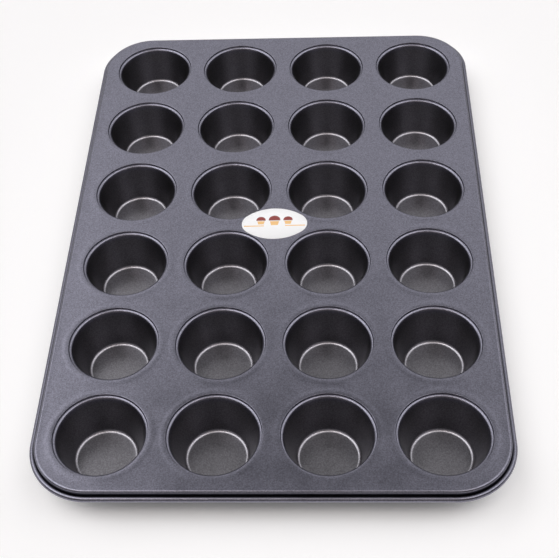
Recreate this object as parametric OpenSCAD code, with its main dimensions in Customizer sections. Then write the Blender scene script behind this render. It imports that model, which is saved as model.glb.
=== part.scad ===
// Muffin tin: separate drawn cups seated in a flanged top plate whose hem is rolled round a wire.
// The pan stands on the undersides of its cups, with the origin on that plane at the pan's centre.
// X runs along the short side, Y along the long side and +Z is up. All sizes are in millimetres.

/* [Cup layout] */
// Cups along the short side
cols = 4; // [2, 4]
// Cups along the long side
rows = 6; // [2, 4, 6]
// Distance between the centres of neighbouring cups, both ways
pitch = 83.6; // [80:0.2:90]
// Distance from an outer cup's centre to the outer edge of the hem
margin = 52; // [50:0.5:60]

/* [Cups] */
// Radius of the recess in the plate that takes a cup's lip
recess_r = 35.3; // [34.5:0.1:36]
// Inner radius of a cup at the top of its wall
mouth_r = 32.6; // [31.6:0.1:33.2]
// Radius of the flat part of a cup's floor
floor_r = 21.6; // [18:0.2:24]
// Depth from the top of the plate to the inside of a cup's floor
cup_depth = 32.5; // [28:0.5:42]
// Radius of the rounding between wall and floor, inside
floor_fillet = 2.8; // [1.5:0.1:5]
// Sheet thickness of a cup
cup_t = 0.4; // [0.3:0.05:0.5]

/* [Top plate] */
// Sheet thickness of the plate
plate_t = 0.5; // [0.4:0.05:0.6]
// Depth of the recess that a cup's lip sits in
recess_d = 1.4; // [1:0.05:1.8]
// Gap all round between a cup's lip and the wall of its recess
lip_gap = 0.2; // [0.1:0.05:0.3]
// Radius of the shoulder where the plate turns down to the hem
shoulder_r = 2; // [1.2:0.1:2.5]
// Outer corner radius of the pan, seen from above
corner_r = 47; // [30:1:50]

/* [Hem] */
// Radius of the wire inside the hem
wire_r = 1.8; // [1.2:0.1:2.2]
// Depth of the wire's centre below the top of the plate
wire_d = 6.4; // [4.6:0.1:8]
// Angle left open between the end of the roll and the skirt
hem_open = 42; // [40:1:60]

/* [Label] */
// Length of the oval paper label
label_w = 55.6; // [40:0.2:58]
// Width of the oval paper label
label_h = 35.4; // [30:0.2:37]
// Radius of the label's two narrow ends
label_end_r = 12; // [10:0.5:14]
// Thickness of the label
label_t = 0.15; // [0.1:0.05:0.3]
// Sideways offset of the label from the pan's centre
label_x = -3; // [-4:0.5:4]
// Lengthways offset of the label from the pan's centre
label_y = 0.8; // [-2:0.1:2]
// Turn of the label on the plate
label_turn = 0.8; // [-3:0.1:3]

/* [Hidden] */
$fn = 96;

pan_h = cup_depth + cup_t;
pan_w = (cols - 1) * pitch + 2 * margin;
pan_l = (rows - 1) * pitch + 2 * margin;

// The hem's outer radius, and how far the hem stands out past the plate's flat top
roll_r = wire_r + plate_t;
wire_out = shoulder_r + wire_r;
hem_out = wire_out + roll_r;
flat_w = pan_w - 2 * hem_out;
flat_l = pan_l - 2 * hem_out;
flat_corner_r = corner_r - hem_out;

// The lip is a quarter round whose crown lies one sheet above the bottom of the recess
lip_edge_r = recess_r - lip_gap;
lip_r = lip_edge_r - mouth_r;
lip_crown = cup_t - recess_d;
lip_z = lip_crown - lip_r;
fillet_z = floor_fillet - cup_depth;

// Slope of the wall, which runs straight from the lip's round to the floor's fillet and meets
// both without a corner: the line that touches two circles lying on its opposite sides
span_r = lip_edge_r - floor_r;
span_z = lip_z - fillet_z;
span = sqrt(span_r * span_r + span_z * span_z);
wall_slope = acos((lip_r + floor_fillet) / span) - atan2(span_z, span_r);

// Straight steps in each rounded stretch of a cup's section
arc_steps = 12;

function cup_name(r, c) = str("cup_r", r, "_c", c);
// Centre of the cup in row r, counted from the back, and column c, counted from the left
function cup_x(c) = (c - (cols + 1) / 2) * pitch;
function cup_y(r) = ((rows + 1) / 2 - r) * pitch;

// A band of sheet bent round the origin, from angle a0 to angle a1, less than half a turn apart
module bent_sheet(outer, inner, a0, a1) {
    reach = 2 * outer;
    am = (a0 + a1) / 2;
    intersection() {
        difference() {
            circle(outer);
            circle(inner);
        }
        polygon([[0, 0], reach * bearing(a0), reach * bearing(am), reach * bearing(a1)]);
    }
}

// Points along an arc about centre, from angle a0 to angle a1
function arc(centre, radius, a0, a1) =
    [for (i = [0:arc_steps]) centre + radius * bearing(a0 + (a1 - a0) * i / arc_steps)];
function bearing(a) = [cos(a), sin(a)];

// A cup's half section: x is the distance from the cup's axis, y the height over the plate's top.
// It goes up the inside, round the lip's edge and back down the outside.
module cup_section() {
    lip_c = [lip_edge_r, lip_z];
    fillet_c = [floor_r, fillet_z];
    polygon(concat(
        [[0, -cup_depth]],
        arc(fillet_c, floor_fillet, -90, -wall_slope),
        arc(lip_c, lip_r, 180 - wall_slope, 90),
        arc(lip_c, lip_r - cup_t, 90, 180 - wall_slope),
        arc(fillet_c, floor_fillet + cup_t, -wall_slope, -90),
        [[0, -cup_depth - cup_t]]
    ));
}

// The turned-down edge of one hole in the plate: the recess and the round seat under a cup's lip
module seat_section() {
    seat_r = lip_r - cup_t;
    translate([recess_r, -recess_d - plate_t])
        square([plate_t, recess_d + plate_t]);
    translate([lip_edge_r, -recess_d - plate_t])
        square([lip_gap, plate_t]);
    translate([lip_edge_r, lip_z])
        bent_sheet(seat_r, seat_r - plate_t, 90, 150);
}

// The pan's edge: shoulder, skirt and hem, with x measured outwards from the end of the flat top
module hem_section() {
    reach = 2 * roll_r;
    translate([0, -shoulder_r])
        bent_sheet(shoulder_r, shoulder_r - plate_t, 0, 90);
    translate([shoulder_r - plate_t, -wire_d])
        square([plate_t, wire_d - shoulder_r]);
    translate([wire_out, -wire_d])
        difference() {
            circle(roll_r);
            circle(wire_r);
            polygon([[0, 0], [-reach, 0], [-reach, reach * tan(hem_open)]]);
        }
}

// Runs a section round the pan's edge: four straight sides and four quarter turns
module around_edge() {
    side_x = flat_w / 2 - flat_corner_r;
    side_y = flat_l / 2 - flat_corner_r;
    for (k = [0:3]) {
        run = k % 2 == 0 ? side_y : side_x;
        out = k % 2 == 0 ? flat_w / 2 : flat_l / 2;
        rotate(90 * k)
            translate([out, run, 0])
                rotate([90, 0, 0])
                    linear_extrude(2 * run)
                        children();
        rotate(90 * k)
            translate([out - flat_corner_r, run, 0])
                rotate_extrude(angle = 90)
                    translate([flat_corner_r, 0])
                        children();
    }
}

// The plate's flat top in outline
module flat_outline() {
    square([flat_w - 2 * flat_corner_r, flat_l], center = true);
    square([flat_w, flat_l - 2 * flat_corner_r], center = true);
    for (sx = [-1, 1])
        for (sy = [-1, 1])
            translate([sx * (flat_w / 2 - flat_corner_r), sy * (flat_l / 2 - flat_corner_r)])
                circle(flat_corner_r);
}

// An oval of four arcs, whose two long arcs run smoothly into its round ends
module oval(w, h, end_r) {
    end_x = w / 2 - end_r;
    rise = h / 2 - end_r;
    drop = (end_x * end_x - rise * rise) / (2 * rise);
    long_r = h / 2 + drop;
    join_x = long_r * end_x / (long_r - end_r);
    intersection() {
        translate([0, -drop])
            circle(long_r);
        translate([0, drop])
            circle(long_r);
        square([2 * join_x, h], center = true);
    }
    for (s = [-1, 1])
        translate([s * end_x, 0])
            circle(end_r);
}

module top_plate() {
    color([0.44, 0.43, 0.49])
        translate([0, 0, pan_h]) {
            difference() {
                translate([0, 0, -plate_t])
                    linear_extrude(plate_t)
                        flat_outline();
                for (r = [1:rows])
                    for (c = [1:cols])
                        translate([cup_x(c), cup_y(r), -2 * plate_t])
                            cylinder(h = 3 * plate_t, r = recess_r + plate_t / 2);
            }
            for (r = [1:rows])
                for (c = [1:cols])
                    translate([cup_x(c), cup_y(r), 0])
                        rotate_extrude()
                            seat_section();
            around_edge()
                hem_section();
        }
}

module rim_wire() {
    color([0.62, 0.62, 0.64])
        translate([0, 0, pan_h - wire_d])
            around_edge()
                translate([wire_out, 0])
                    circle(wire_r);
}

module label() {
    color([0.96, 0.96, 0.95])
        translate([label_x, label_y, pan_h])
            rotate(label_turn)
                linear_extrude(label_t)
                    oval(label_w, label_h, label_end_r);
}

module cup(r, c) {
    color([0.2, 0.2, 0.21])
        translate([cup_x(c), cup_y(r), pan_h])
            rotate_extrude()
                cup_section();
}

top_plate();
rim_wire();
label();
for (r = [1:rows])
    for (c = [1:cols])
        cup(r, c);
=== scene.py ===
import math

import bmesh
import bpy
from mathutils import Matrix, Quaternion, Vector
from mathutils.geometry import delaunay_2d_cdt


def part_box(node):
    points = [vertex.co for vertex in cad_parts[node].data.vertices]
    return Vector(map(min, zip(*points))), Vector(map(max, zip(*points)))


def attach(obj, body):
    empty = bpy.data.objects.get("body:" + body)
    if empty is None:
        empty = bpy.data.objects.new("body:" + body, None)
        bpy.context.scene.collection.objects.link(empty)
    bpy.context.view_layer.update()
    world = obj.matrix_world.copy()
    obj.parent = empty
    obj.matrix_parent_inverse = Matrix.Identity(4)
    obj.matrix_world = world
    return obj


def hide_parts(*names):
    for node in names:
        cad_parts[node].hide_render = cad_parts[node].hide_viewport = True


# Looks for the muffin tin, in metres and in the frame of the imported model. The plate, the 24 cups
# and the label are built here as finer meshes in the places that the frame gives. The wire stays
# as it is.

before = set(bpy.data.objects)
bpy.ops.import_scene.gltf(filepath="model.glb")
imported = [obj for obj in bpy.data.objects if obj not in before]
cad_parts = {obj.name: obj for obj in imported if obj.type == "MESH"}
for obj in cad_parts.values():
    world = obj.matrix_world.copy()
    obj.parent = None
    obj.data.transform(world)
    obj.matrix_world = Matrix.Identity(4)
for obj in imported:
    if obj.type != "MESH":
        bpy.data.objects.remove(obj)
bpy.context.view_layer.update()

MM = 0.001
cup_nodes = sorted(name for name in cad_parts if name.startswith("cup_"))

# ---- Sizes that the frame gives ----------------------------------------------------------------
plate_low, plate_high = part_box("top_plate")
wire_low, wire_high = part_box("rim_wire")
TOP_Z = plate_high.z
PLATE_T = plate_high.x - wire_high.x
WIRE_R = (wire_high.z - wire_low.z) / 2
WIRE_Z = (wire_high.z + wire_low.z) / 2

# ---- Sizes of the sheet-metal work -------------------------------------------------------------
SHOULDER_R = 2 * MM
CORNER_R = 47 * MM
HEM_END = math.radians(138)
HEM_OUT = SHOULDER_R + 2 * WIRE_R + PLATE_T

# The gap round a cup's lip, and how far its crown is drawn below the one in the frame
LIP_GAP = 0.2 * MM
LIP_DROP = 0.35 * MM
SEAT_END = math.radians(150)
# Round each mouth the plate swells by a hair, and falls again towards the mouth
SWELL_START = 6.2 * MM
SWELL_END = 2.4 * MM
SWELL_RISE = 0.08 * MM
FALL_W = 2.4 * MM
FALL_DEPTH = 0.07 * MM
EDGE_R = 0.35 * MM
# The plate rises a little towards its shoulder
BROW_W = 4 * MM
BROW_RISE = 0.05 * MM

CUP_T = 0.4 * MM
LIP_R = 2.5 * MM
FLOOR_R = 21.6 * MM
FILLET_R = 2.8 * MM

LABEL_W = 55.6 * MM
LABEL_H = 35.4 * MM
LABEL_END_R = 12 * MM
LABEL_TURN = math.radians(0.8)
# The print, measured from the label's centre: three muffins as (x, size), and a line on each side
MUFFINS = ((-11.5 * MM, 6.4 * MM), (0, 8 * MM), (11.5 * MM, 6.4 * MM))
MUFFIN_Y = 3.4 * MM
LINE_X = (9 * MM, 26 * MM)
LINE_Y = -2.6 * MM
LINE_W = 1.1 * MM

# ---- How finely curves are cut -----------------------------------------------------------------
HOLE_STEPS = 96
CORNER_STEPS = 24
SIDE_STEP = 10 * MM
GRID_STEP = 8 * MM

# ---- Painted light on the coating: 1 is a pale painted highlight, -1 is dark painted shade -----
PAINTED_LIGHT_LEVELS = (0.1, 1.9)
# Darker down the cups' walls: painted shade
WALL_PAINTED_SHADE = -0.22
# Darker in the fold of the hem: painted shade
FOLD_PAINTED_SHADE = -0.8
# The cups' coating takes the lip's lighter, bluer colour between these depths below the plate's
# top: painted light
TOP_LIGHT_START = 6 * MM
TOP_LIGHT_END = 3 * MM


# ---- Meshes ------------------------------------------------------------------------------------
def arc(x, z, radius, start, end, steps):
    """Points along an arc about (x, z), both ends included; angles in radians."""
    turns = [start + (end - start) * i / steps for i in range(steps + 1)]
    return [(x + radius * math.cos(a), z + radius * math.sin(a)) for a in turns]


def circle_path(x, y, steps):
    """A path round a point: each entry is a place and the direction that points outwards there."""
    turns = [2 * math.pi * i / steps for i in range(steps)]
    return [(x, y, math.cos(a), math.sin(a)) for a in turns]


def edge_path(half_x, half_y):
    """A path round a rectangle of corner centres, with a quarter turn at each corner."""
    corners = [(half_x, half_y), (-half_x, half_y), (-half_x, -half_y), (half_x, -half_y)]
    path = []
    for k, (x, y) in enumerate(corners):
        for i in range(CORNER_STEPS + 1):
            a = math.pi / 2 * (k + i / CORNER_STEPS)
            path.append((x, y, math.cos(a), math.sin(a)))
        next_x, next_y = corners[(k + 1) % 4]
        steps = round(math.hypot(next_x - x, next_y - y) / SIDE_STEP)
        a = math.pi / 2 * (k + 1)
        for i in range(1, steps):
            t = i / steps
            path.append((x + (next_x - x) * t, y + (next_y - y) * t, math.cos(a), math.sin(a)))
    return path


class Shell:
    """Vertices and faces of one piece, gathered strip by strip."""

    def __init__(self):
        self.verts = []
        self.faces = []
        self.materials = []
        self.painted_light = {}

    def add_face(self, face, material=0):
        self.faces.append(face)
        self.materials.append(material)

    def ring(self, path, out, z, painted_light=0.0):
        """A closed loop of vertices: the path moved outwards by out, at height z."""
        first = len(self.verts)
        self.verts += [(x + nx * out, y + ny * out, z) for x, y, nx, ny in path]
        ring = list(range(first, len(self.verts)))
        if painted_light:
            self.painted_light.update((i, painted_light) for i in ring)
        return ring

    def bridge(self, a, b, material=0):
        for i in range(len(a)):
            j = (i + 1) % len(a)
            self.add_face((a[i], a[j], b[j], b[i]), material)

    def sweep(self, path, section, painted_light_at=()):
        """Runs a section round a path, with painted light at some points of the section: a painted
        highlight above 0, painted shade below 0.
        """
        painted_light_at = dict(painted_light_at)
        rings = [self.ring(path, out, z, painted_light_at.get(k, 0.0)) for k, (out, z) in enumerate(section)]
        for a, b in zip(rings, rings[1:]):
            self.bridge(a, b)
        return rings

    def cap(self, ring, x, y, z):
        """Closes a ring with a fan of triangles round a centre point."""
        centre = len(self.verts)
        self.verts.append((x, y, z))
        for i in range(len(ring)):
            self.add_face((ring[i], ring[(i + 1) % len(ring)], centre))

    def fill(self, rings, keep, loose=(), z=0.0):
        """Fills a flat region between rings.

        keep(x, y) gives the material number of the face there, or None to leave it out.
        """
        first = len(self.verts)
        self.verts += [(x, y, z) for x, y in loose]
        known = [i for ring in rings for i in ring] + list(range(first, len(self.verts)))
        points = [Vector(self.verts[i][:2]) for i in known]
        edges = []
        start = 0
        for ring in rings:
            edges += [(start + i, start + (i + 1) % len(ring)) for i in range(len(ring))]
            start += len(ring)
        made, _, faces, origins, _, _ = delaunay_2d_cdt(points, edges, [], 0, 1e-9)
        for face in faces:
            middle = sum((made[i] for i in face), Vector((0, 0))) / len(face)
            material = keep(middle.x, middle.y)
            if material is not None:
                self.add_face([known[origins[i][0]] for i in face], material)

    def build(self, name, materials):
        mesh = bpy.data.meshes.new(name)
        mesh.from_pydata(self.verts, [], self.faces)
        for material in materials:
            mesh.materials.append(material)
        mesh.polygons.foreach_set("material_index", self.materials)
        work = bmesh.new()
        work.from_mesh(mesh)
        bmesh.ops.recalc_face_normals(work, faces=work.faces)
        work.to_mesh(mesh)
        work.free()
        mesh.shade_smooth()
        # Painted light at each point: a painted highlight above 0, painted shade below 0
        painted_light = mesh.attributes.new("painted_light", "FLOAT", "POINT")
        painted_light.data.foreach_set("value", [self.painted_light.get(i, 0.0) for i in range(len(self.verts))])
        piece = bpy.data.objects.new(name, mesh)
        bpy.context.scene.collection.objects.link(piece)
        return piece


# ---- Materials ---------------------------------------------------------------------------------
def new_material(name):
    material = bpy.data.materials.new(name)
    material.use_nodes = True
    nodes = material.node_tree.nodes
    return material, nodes, material.node_tree.links, nodes["Principled BSDF"]


def noise(nodes, links, coords, grain, detail=2.0):
    """Noise whose grains are about `grain` metres across."""
    node = nodes.new("ShaderNodeTexNoise")
    node.inputs["Scale"].default_value = 1 / grain
    node.inputs["Detail"].default_value = detail
    links.new(coords.outputs["Object"], node.inputs["Vector"])
    return node


def ranged(nodes, links, source, low, high, source_low=0.3, source_high=0.7):
    """Maps a value linearly from its source range to low..high."""
    node = nodes.new("ShaderNodeMapRange")
    node.inputs["From Min"].default_value = source_low
    node.inputs["From Max"].default_value = source_high
    node.inputs["To Min"].default_value = low
    node.inputs["To Max"].default_value = high
    links.new(source, node.inputs["Value"])
    return node.outputs["Result"]


def feed(links, value, socket):
    """Sets a socket from another socket, or from plain numbers."""
    if isinstance(value, bpy.types.NodeSocket):
        links.new(value, socket)
    else:
        socket.default_value = value


def maths(nodes, links, operation, *values):
    """A Math node on one or two values, each of them a socket or a number."""
    node = nodes.new("ShaderNodeMath")
    node.operation = operation
    for value, socket in zip(values, node.inputs):
        feed(links, value, socket)
    return node.outputs["Value"]


def product(nodes, links, a, b):
    return maths(nodes, links, "MULTIPLY", a, b)


def tinted(nodes, links, colour, level):
    """A colour made lighter or darker by level."""
    node = nodes.new("ShaderNodeVectorMath")
    node.operation = "SCALE"
    feed(links, colour, node.inputs[0])
    links.new(level, node.inputs["Scale"])
    return node.outputs["Vector"]


def coated_steel(name, colour, lit_top_colour, speckle, roughness):
    """Steel under a thin satin non-stick coating: fine metallic speckle, faint patches, and painted
    highlights and shade.

    Near the plate's top the colour turns into a lighter, bluer one: painted light.
    """
    material, nodes, links, shader = new_material(name)
    coords = nodes.new("ShaderNodeTexCoord")
    fine = noise(nodes, links, coords, 0.9 * MM, 3.0)
    coarse = noise(nodes, links, coords, 22 * MM)
    painted_light = nodes.new("ShaderNodeAttribute")
    painted_light.attribute_name = "painted_light"

    level = product(
        nodes, links,
        ranged(nodes, links, fine.outputs["Fac"], 1 - speckle, 1 + speckle),
        ranged(nodes, links, coarse.outputs["Fac"], 0.96, 1.04),
    )
    # Painted highlights lighten the colour here and painted shade darkens it
    painted_light_level = ranged(nodes, links, painted_light.outputs["Fac"], *PAINTED_LIGHT_LEVELS, -1, 1)
    level = product(nodes, links, level, painted_light_level)
    place = nodes.new("ShaderNodeSeparateXYZ")
    links.new(coords.outputs["Object"], place.inputs["Vector"])
    start_z, end_z = TOP_Z - TOP_LIGHT_START, TOP_Z - TOP_LIGHT_END
    blend = nodes.new("ShaderNodeMix")
    blend.data_type = "VECTOR"
    near_top = ranged(nodes, links, place.outputs["Z"], 0, 1, start_z, end_z)
    links.new(near_top, blend.inputs["Factor"])
    blend.inputs["A"].default_value = colour
    blend.inputs["B"].default_value = lit_top_colour
    shade = tinted(nodes, links, blend.outputs["Result"], level)
    links.new(shade, shader.inputs["Base Color"])
    rough = ranged(nodes, links, coarse.outputs["Fac"], roughness - 0.02, roughness + 0.02)
    links.new(rough, shader.inputs["Roughness"])
    shader.inputs["Metallic"].default_value = 1.0

    grain = noise(nodes, links, coords, 0.35 * MM, 1.0)
    bump = nodes.new("ShaderNodeBump")
    bump.inputs["Strength"].default_value = 0.25
    bump.inputs["Distance"].default_value = 0.02 * MM
    links.new(grain.outputs["Fac"], bump.inputs["Height"])
    links.new(bump.outputs["Normal"], shader.inputs["Normal"])
    return material


def drawn_steel(name):
    """Bare drawn wire, with faint streaks along it."""
    material, nodes, links, shader = new_material(name)
    coords = nodes.new("ShaderNodeTexCoord")
    streaks = noise(nodes, links, coords, 0.6 * MM, 3.0)
    level = ranged(nodes, links, streaks.outputs["Fac"], 0.85, 1.1)
    links.new(tinted(nodes, links, (0.55, 0.55, 0.56), level), shader.inputs["Base Color"])
    links.new(ranged(nodes, links, streaks.outputs["Fac"], 0.25, 0.38), shader.inputs["Roughness"])
    shader.inputs["Metallic"].default_value = 1.0
    return material


def paper(name, colour):
    """Coated label paper, or ink on it: faint mottling and a fibre grain."""
    material, nodes, links, shader = new_material(name)
    coords = nodes.new("ShaderNodeTexCoord")
    fibres = noise(nodes, links, coords, 0.5 * MM, 4.0)
    level = ranged(nodes, links, fibres.outputs["Fac"], 0.97, 1.02)
    links.new(tinted(nodes, links, colour, level), shader.inputs["Base Color"])
    links.new(ranged(nodes, links, fibres.outputs["Fac"], 0.42, 0.52), shader.inputs["Roughness"])
    bump = nodes.new("ShaderNodeBump")
    bump.inputs["Strength"].default_value = 0.15
    bump.inputs["Distance"].default_value = 0.02 * MM
    links.new(fibres.outputs["Fac"], bump.inputs["Height"])
    links.new(bump.outputs["Normal"], shader.inputs["Normal"])
    return material


PLATE_GREY = (0.217, 0.213, 0.263)
CUP_GREY = (0.211, 0.204, 0.223)
# Lighter and bluer at the cups' lip than deeper down: painted light
LIP_LIT_GREY = (0.232, 0.227, 0.280)
SPECKLE = 0.28
PLATE_COATING = coated_steel("plate_coating", PLATE_GREY, PLATE_GREY, SPECKLE, 0.30)
CUP_COATING = coated_steel("cup_coating", CUP_GREY, LIP_LIT_GREY, SPECKLE, 0.34)
WIRE_STEEL = drawn_steel("wire_steel")
LABEL_PAPER = paper("label_paper", (0.95, 0.95, 0.97))
LABEL_RED = paper("label_red_ink", (0.28, 0.05, 0.045))
LABEL_ORANGE = paper("label_orange_ink", (0.90, 0.56, 0.24))
# The label's material numbers
PAPER, RED, ORANGE = 0, 1, 2


# ---- The plate ---------------------------------------------------------------------------------
def cup_places():
    """Each cup's node, the x and y of its axis, its outer radius and the height of its crown."""
    for node in cup_nodes:
        low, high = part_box(node)
        x, y = (low.x + high.x) / 2, (low.y + high.y) / 2
        yield node, x, y, (high.x - low.x) / 2, high.z - LIP_DROP


def smooth(t):
    """Goes from 0 to 1 with a level start and end."""
    t = min(1.0, max(0.0, t))
    return t * t * (3 - 2 * t)


def collar_height(s):
    """Height over the flat plate at a distance s outside a mouth: a faint swell, then a fall."""
    swell = SWELL_RISE * smooth((SWELL_START - s) / (SWELL_START - SWELL_END))
    return swell - FALL_DEPTH * max(0.0, 1 - s / FALL_W) ** 2


def mouth_section(mouth_r, crown_z):
    """The sheet round one mouth: in along the top, down the step, round the seat and back."""
    seat_z = crown_z - CUP_T
    lip_edge_r = mouth_r - LIP_GAP
    seat_r = LIP_R - CUP_T
    seat_c = seat_z - seat_r
    steps = 16
    spread = [SWELL_START + (EDGE_R - SWELL_START) * i / steps for i in range(steps + 1)]
    top = [(mouth_r + s, TOP_Z + collar_height(s)) for s in spread]
    edge_z = top[-1][1]
    under = [(r, z - PLATE_T) for r, z in top[:-1]]
    bend_r = 0.1 * MM
    return (
        top
        + arc(mouth_r + EDGE_R, edge_z - EDGE_R, EDGE_R, math.pi / 2, math.pi, 5)[1:]
        + [(mouth_r, seat_z + bend_r)]
        + arc(lip_edge_r, seat_c, seat_r, math.pi / 2, SEAT_END, 6)
        + arc(lip_edge_r, seat_c, seat_r - PLATE_T, SEAT_END, math.pi / 2, 6)
        + [(mouth_r + PLATE_T - bend_r, seat_z - PLATE_T)]
        + [(mouth_r + PLATE_T, seat_z - PLATE_T + bend_r)]
        + [(mouth_r + PLATE_T, edge_z - PLATE_T - bend_r)]
        + under[::-1]
    )


def hem_section():
    """The sheet round the pan's edge: over the shoulder, down, round the wire and back."""
    steps = 8
    brow = [(BROW_W * (i / steps - 1), BROW_RISE * (i / steps) ** 2) for i in range(steps)]
    wire_x = SHOULDER_R + WIRE_R
    inner_r = WIRE_R + 0.02 * MM
    outer_r = WIRE_R + PLATE_T
    end = 2 * math.pi + HEM_END
    end_r = (inner_r + outer_r) / 2
    end_x = wire_x + end_r * math.cos(end)
    end_z = WIRE_Z + end_r * math.sin(end)
    cap_r = PLATE_T / 2
    drop = TOP_Z + BROW_RISE - SHOULDER_R
    return (
        [(x, TOP_Z + z) for x, z in brow]
        + arc(0, drop, SHOULDER_R, math.pi / 2, 0, 8)
        + arc(wire_x, WIRE_Z, inner_r, math.pi, end, 36)
        + arc(end_x, end_z, cap_r, end + math.pi, end, 6)[1:-1]
        + arc(wire_x, WIRE_Z, outer_r, end, math.pi, 36)
        + arc(0, drop, SHOULDER_R - PLATE_T, 0, math.pi / 2, 8)
        + [(x, TOP_Z + z - PLATE_T) for x, z in reversed(brow)]
    )


def make_plate():
    """The top plate: one sheet with 24 mouths, and a hem rolled round the wire."""
    flat_r = CORNER_R - HEM_OUT
    path = edge_path(plate_high.x - CORNER_R, plate_high.y - CORNER_R)
    shell = Shell()
    hem = [(flat_r + x, z) for x, z in hem_section()]
    # Painted shade darkens the fold: points 14 to 17 of the section lead down the skirt,
    # and points 53 to 65 are the end of the roll, which faces it
    fold = {k: FOLD_PAINTED_SHADE * min(1.0, (k - 13) / 3) for k in range(14, 18)}
    fold.update((k, FOLD_PAINTED_SHADE * min(1.0, (66 - k) / 8)) for k in range(53, 66))
    rings = shell.sweep(path, hem, fold)
    top_rings, under_rings = [rings[0]], [rings[-1]]
    places = []
    for _, x, y, lip_edge_r, crown_z in cup_places():
        section = mouth_section(lip_edge_r + LIP_GAP, crown_z)
        mouth = shell.sweep(circle_path(x, y, HOLE_STEPS), section)
        top_rings.append(mouth[0])
        under_rings.append(mouth[-1])
        places.append((x, y))
    collar_r = section[0][0]
    inside = collar_r * math.cos(math.pi / HOLE_STEPS)
    reach_x = plate_high.x - HEM_OUT
    reach_y = plate_high.y - HEM_OUT

    def gap(x, y):
        return min(math.hypot(x - a, y - b) for a, b in places)

    def keep(x, y):
        return None if gap(x, y) < inside else 0

    loose = []
    for i in range(round(2 * reach_x / GRID_STEP)):
        for j in range(round(2 * reach_y / GRID_STEP)):
            x = -reach_x + (i + 0.5) * GRID_STEP
            y = -reach_y + (j + 0.5) * GRID_STEP
            corner = math.hypot(
                max(0, abs(x) - reach_x + flat_r), max(0, abs(y) - reach_y + flat_r)
            )
            if gap(x, y) > collar_r + 0.4 * GRID_STEP and corner < flat_r - 0.8 * GRID_STEP:
                loose.append((x, y))
    shell.fill(top_rings, keep, loose, TOP_Z)
    shell.fill(under_rings, keep, loose, TOP_Z - PLATE_T)
    plate = shell.build("plate_sheet", [PLATE_COATING])
    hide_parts("top_plate")
    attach(plate, "root")


# ---- The cups ----------------------------------------------------------------------------------
def cup_section(lip_edge_r, crown_z):
    """A cup's sheet: out along the floor, up the wall, over the lip and back down the outside."""
    lip_z = crown_z - LIP_R
    fillet_z = CUP_T + FILLET_R
    span_r = lip_edge_r - FLOOR_R
    span_z = lip_z - fillet_z
    slope = math.acos((LIP_R + FILLET_R) / math.hypot(span_r, span_z)) - math.atan2(span_z, span_r)
    up = math.pi / 2
    edge_r = 0.12 * MM
    return (
        [(FLOOR_R * 0.5, CUP_T), (FLOOR_R * 0.9, CUP_T)]
        + arc(FLOOR_R, fillet_z, FILLET_R, -up, -slope, 8)
        + arc(lip_edge_r, lip_z, LIP_R, math.pi - slope, up + 0.04, 10)
        + arc(lip_edge_r - edge_r, crown_z - edge_r, edge_r, up, 0, 3)
        + arc(lip_edge_r, lip_z, LIP_R - CUP_T, up, math.pi - slope, 8)
        + arc(FLOOR_R, fillet_z, FILLET_R + CUP_T, -slope, -up, 8)
        + [(FLOOR_R * 0.9, 0), (FLOOR_R * 0.5, 0)]
    )


def make_cups():
    """One drawn cup in each mouth."""
    # A painted highlight brightens the floor's rounding, and painted shade darkens the wall between
    # points 10 and 11
    painted_light_at = {2 + k: math.sin(math.pi * k / 8) for k in range(9)}
    painted_light_at[10] = painted_light_at[11] = WALL_PAINTED_SHADE
    for node, x, y, lip_edge_r, crown_z in cup_places():
        shell = Shell()
        rings = shell.sweep(circle_path(x, y, HOLE_STEPS), cup_section(lip_edge_r, crown_z), painted_light_at)
        shell.cap(rings[0], x, y, CUP_T)
        shell.cap(rings[-1], x, y, 0)
        cup = shell.build(node.replace("cup_", "cup_shell_"), [CUP_COATING])
        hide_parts(node)
        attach(cup, "root")


# ---- The label ---------------------------------------------------------------------------------
def oval_path(centre, turn, width, height, end_r):
    """A path round an oval of four arcs, with its outward directions."""
    end_x = width / 2 - end_r
    rise = height / 2 - end_r
    drop = (end_x * end_x - rise * rise) / (2 * rise)
    long_r = height / 2 + drop
    half = math.atan2(end_x, drop)
    path = []
    for k in range(2):
        for i in range(16):
            a = -math.pi / 2 + half + (math.pi - 2 * half) * i / 16 + k * math.pi
            x = (end_x if k == 0 else -end_x) + end_r * math.cos(a)
            path.append((x, end_r * math.sin(a), math.cos(a), math.sin(a)))
        for i in range(32):
            a = math.pi / 2 - half + 2 * half * i / 32 + k * math.pi
            y = (-drop if k == 0 else drop) + long_r * math.sin(a)
            path.append((long_r * math.cos(a), y, math.cos(a), math.sin(a)))
    spin = Matrix.Rotation(turn, 2)
    turned = []
    for x, y, nx, ny in path:
        place = spin @ Vector((x, y)) + centre
        out = spin @ Vector((nx, ny))
        turned.append((place.x, place.y, out.x, out.y))
    return turned


def muffin(x, y, size):
    """A small muffin in two closed outlines: its domed top, and its case."""
    top = arc(x, y + 0.1 * size, 0.62 * size, math.radians(-8), math.radians(188), 14)
    case = [
        (x - 0.36 * size, y - 0.66 * size),
        (x + 0.36 * size, y - 0.66 * size),
        (x + 0.5 * size, y - 0.08 * size),
        (x - 0.5 * size, y - 0.08 * size),
    ]
    return top, case


def rule(x0, x1, y, width):
    """The outline of a straight printed line."""
    return [(x0, y - width / 2), (x1, y - width / 2), (x1, y + width / 2), (x0, y + width / 2)]


def holds(outline, x, y):
    """True if the point lies inside a closed outline."""
    inside = False
    for (ax, ay), (bx, by) in zip(outline, outline[1:] + outline[:1]):
        if (ay > y) != (by > y) and x < ax + (bx - ax) * (y - ay) / (by - ay):
            inside = not inside
    return inside


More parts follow.
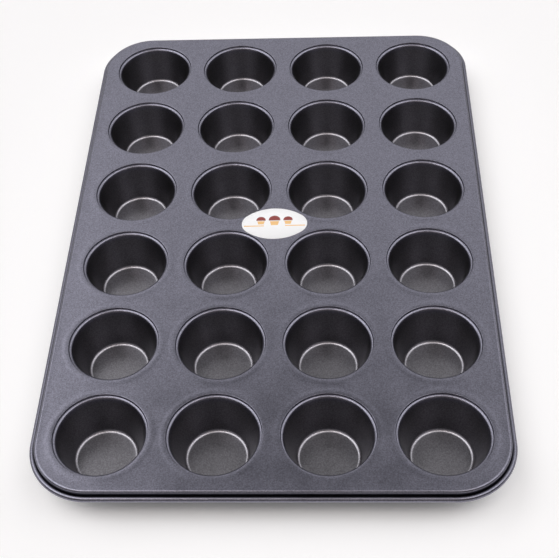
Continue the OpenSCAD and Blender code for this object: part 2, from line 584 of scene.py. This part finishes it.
def make_label():
    """The oval paper label, with three muffins and two lines in place of the print."""
    low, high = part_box("label")
    centre = Vector(((low.x + high.x) / 2, (low.y + high.y) / 2))
    path = oval_path(centre, LABEL_TURN, LABEL_W, LABEL_H, LABEL_END_R)
    soft = 0.05 * MM
    shell = Shell()
    sides = shell.sweep(path, [(0, low.z), (0, high.z - soft), (-soft, high.z)])
    spin = Matrix.Rotation(LABEL_TURN, 2)
    marks = []
    for x, size in MUFFINS:
        top, case = muffin(x, MUFFIN_Y, size)
        marks += [(top, RED), (case, ORANGE)]
    for side in (-1, 1):
        marks.append((rule(side * LINE_X[0], side * LINE_X[1], LINE_Y, LINE_W), ORANGE))
    mark_rings = []
    outlines = []
    for mark, ink in marks:
        first = len(shell.verts)
        placed = [spin @ Vector(point) + centre for point in mark]
        shell.verts += [(p.x, p.y, high.z) for p in placed]
        mark_rings.append(list(range(first, len(shell.verts))))
        outlines.append(([(p.x, p.y) for p in placed], ink))
    rim = [shell.verts[i][:2] for i in sides[-1]]

    def region(x, y):
        if not holds(rim, x, y):
            return None
        return next((ink for outline, ink in outlines if holds(outline, x, y)), PAPER)

    shell.fill([sides[-1], *mark_rings], region)
    shell.fill([sides[0]], lambda x, y: PAPER if holds(rim, x, y) else None)
    label = shell.build("paper_label", [LABEL_PAPER, LABEL_RED, LABEL_ORANGE])
    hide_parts("label")
    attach(label, "root")


# ---- Floor, light and camera -------------------------------------------------------------------
# Panels of light: azimuths from the back, clockwise, and elevations, both in degrees, then the
# brightness and the tint. Panels that overlap add up.
NEUTRAL = (1.0, 1.0, 1.0)
WARM = (1.06, 0.98, 0.92)
PANELS = [
    ((-100, 100), (25, 80), 0.76, NEUTRAL),
    ((-190, 190), (80, 95), 0.66, NEUTRAL),
    ((-100, 100), (-5, 25), 0.16, NEUTRAL),
    ((-25, 25), (25, 52), 0.19, NEUTRAL),
    ((-85, -22), (40, 72), 1.32, NEUTRAL),
    ((30, 85), (25, 72), 0.58, NEUTRAL),
    ((-105, -60), (26, 44), 1.0, NEUTRAL),
    ((60, 105), (26, 44), 0.4, NEUTRAL),
    ((-130, -80), (45, 80), 2.2, NEUTRAL),
    ((80, 130), (45, 80), 1.9, NEUTRAL),
    ((-158, -128), (62, 79), 6.8, WARM),
    ((128, 158), (62, 79), 6.3, WARM),
    ((-190, -158), (60, 80), 1.3, WARM),
    ((158, 190), (60, 80), 1.3, WARM),
    ((-190, -130), (5, 60), 0.18, WARM),
    ((130, 190), (5, 60), 0.18, WARM),
]
# Half the width of a panel's soft edge, in degrees
PANEL_SOFT = 4
# A strip overhead that runs from the back to the front, between the panels: the way it points and
# its half width in degrees. It is dark over one stretch of angles above the back, then dim.
DARK_AZIMUTH = math.radians(-7)
DARK_HALF = 12
DARK_START = 53
DARK_END = 76
DIM_END = 130
DIM_LEVEL = 0.42

FLOOR_REACH = 6.0
FLOOR_WHITE = (0.955, 0.95, 0.965, 1)
BACKDROP_WHITE = (0.92, 0.91, 0.915, 1)
# The half shade on the floor beside the pan is lifted: by how much, and how far the pan is felt
SHADE_LIFT = 0.2
SHADE_REACH = 0.3


def make_floor():
    """A pale floor, plain but for a glow where about half the sky is hidden by the pan."""
    mesh = bpy.data.meshes.new("floor")
    signs = ((-1, -1), (1, -1), (1, 1), (-1, 1))
    corners = [(x * FLOOR_REACH, y * FLOOR_REACH, 0) for x, y in signs]
    mesh.from_pydata(corners, [], [(0, 1, 2, 3)])
    floor = bpy.data.objects.new("floor", mesh)
    bpy.context.scene.collection.objects.link(floor)
    material, nodes, links, shader = new_material("floor_white")
    shader.inputs["Base Color"].default_value = FLOOR_WHITE
    shader.inputs["Roughness"].default_value = 0.8
    occlusion = nodes.new("ShaderNodeAmbientOcclusion")
    occlusion.samples = 16
    occlusion.inputs["Distance"].default_value = SHADE_REACH
    # Half a turn of a sine: nothing in the deep shade and in the open, and the most in between
    openness = ranged(nodes, links, occlusion.outputs["AO"], 0, math.pi, 0.12, 0.98)
    half_shade = maths(nodes, links, "SINE", openness)
    glow = maths(nodes, links, "MULTIPLY", half_shade, SHADE_LIFT)
    shader.inputs["Emission Color"].default_value = (1, 1, 1, 1)
    links.new(glow, shader.inputs["Emission Strength"])
    mesh.materials.append(material)


def along(nodes, links, direction, axis):
    """How far a direction points along an axis."""
    node = nodes.new("ShaderNodeVectorMath")
    node.operation = "DOT_PRODUCT"
    node.inputs[1].default_value = axis
    links.new(direction, node.inputs[0])
    return node.outputs["Value"]


def window(nodes, links, angle, start, end):
    """1 where an angle lies between start and end, in degrees, and 0 outside, with soft edges."""
    middle = math.radians((start + end) / 2)
    half = math.radians((end - start) / 2)
    soft = math.radians(PANEL_SOFT)
    offset = maths(nodes, links, "SUBTRACT", angle, middle)
    edge = nodes.new("ShaderNodeMapRange")
    edge.interpolation_type = "SMOOTHSTEP"
    edge.inputs["From Min"].default_value = half + soft
    edge.inputs["From Max"].default_value = half - soft
    links.new(maths(nodes, links, "ABSOLUTE", offset), edge.inputs["Value"])
    return edge.outputs["Result"]


def make_world():
    """The studio: pale all round, soft panels of light at the sides and behind the camera."""
    world = bpy.data.worlds.new("studio")
    world.use_nodes = True
    bpy.context.scene.world = world
    nodes, links = world.node_tree.nodes, world.node_tree.links
    direction = nodes.new("ShaderNodeTexCoord").outputs["Generated"]
    right = along(nodes, links, direction, (1, 0, 0))
    back = along(nodes, links, direction, (0, 1, 0))
    up = along(nodes, links, direction, (0, 0, 1))
    azimuth = maths(nodes, links, "ARCTAN2", right, back)
    elevation = maths(nodes, links, "ARCSINE", up)
    total = None
    for azimuths, elevations, brightness, tint in PANELS:
        shape = product(
            nodes, links,
            window(nodes, links, azimuth, *azimuths),
            window(nodes, links, elevation, *elevations),
        )
        panel = tinted(nodes, links, [brightness * v for v in tint], shape)
        if total is None:
            total = panel
        else:
            add = nodes.new("ShaderNodeVectorMath")
            links.new(total, add.inputs[0])
            links.new(panel, add.inputs[1])
            total = add.outputs["Vector"]
    sine, cosine = math.sin(DARK_AZIMUTH), math.cos(DARK_AZIMUTH)
    across = maths(nodes, links, "ARCSINE", along(nodes, links, direction, (cosine, -sine, 0)))
    over = maths(nodes, links, "ARCTAN2", up, along(nodes, links, direction, (sine, cosine, 0)))
    strip = window(nodes, links, across, -DARK_HALF, DARK_HALF)
    dark = product(nodes, links, strip, window(nodes, links, over, DARK_START, DARK_END))
    dim = product(nodes, links, strip, window(nodes, links, over, DARK_END, DIM_END))
    level = product(
        nodes, links,
        ranged(nodes, links, dark, 1, 0, 0, 1),
        ranged(nodes, links, dim, 1, DIM_LEVEL, 0, 1),
    )
    studio = nodes["Background"]
    links.new(total, studio.inputs["Color"])
    links.new(level, studio.inputs["Strength"])
    # Seen directly, past the end of the floor, the studio is plain and pale
    backdrop = nodes.new("ShaderNodeBackground")
    backdrop.inputs["Color"].default_value = BACKDROP_WHITE
    seen = nodes.new("ShaderNodeMixShader")
    links.new(nodes.new("ShaderNodeLightPath").outputs["Is Camera Ray"], seen.inputs[0])
    links.new(studio.outputs["Background"], seen.inputs[1])
    links.new(backdrop.outputs["Background"], seen.inputs[2])
    links.new(seen.outputs["Shader"], nodes["World Output"].inputs["Surface"])


def make_camera():
    """The camera: aimed at a point on the plate from a distance, with a slight roll."""
    aim = Vector((2.7 * MM, -61.2 * MM, TOP_Z))
    distance = 0.894
    yaw = math.radians(-4.04)
    down = math.radians(49.44)
    roll = math.radians(-3.58)
    level = math.cos(down)
    forward = Vector((math.sin(yaw) * level, math.cos(yaw) * level, -math.sin(down)))
    data = bpy.data.cameras.new("camera")
    data.lens = 70.8
    data.sensor_width = 36
    camera = bpy.data.objects.new("camera", data)
    camera.location = aim - forward * distance
    turn = forward.to_track_quat("-Z", "Y") @ Quaternion((0, 0, 1), roll)
    camera.rotation_euler = turn.to_euler()
    bpy.context.scene.collection.objects.link(camera)
    bpy.context.scene.camera = camera


make_plate()
make_cups()
make_label()

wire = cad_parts["rim_wire"]
wire.data.materials.clear()
wire.data.materials.append(WIRE_STEEL)

make_floor()
make_world()
make_camera()
bpy.context.scene.view_settings.view_transform = "Standard"
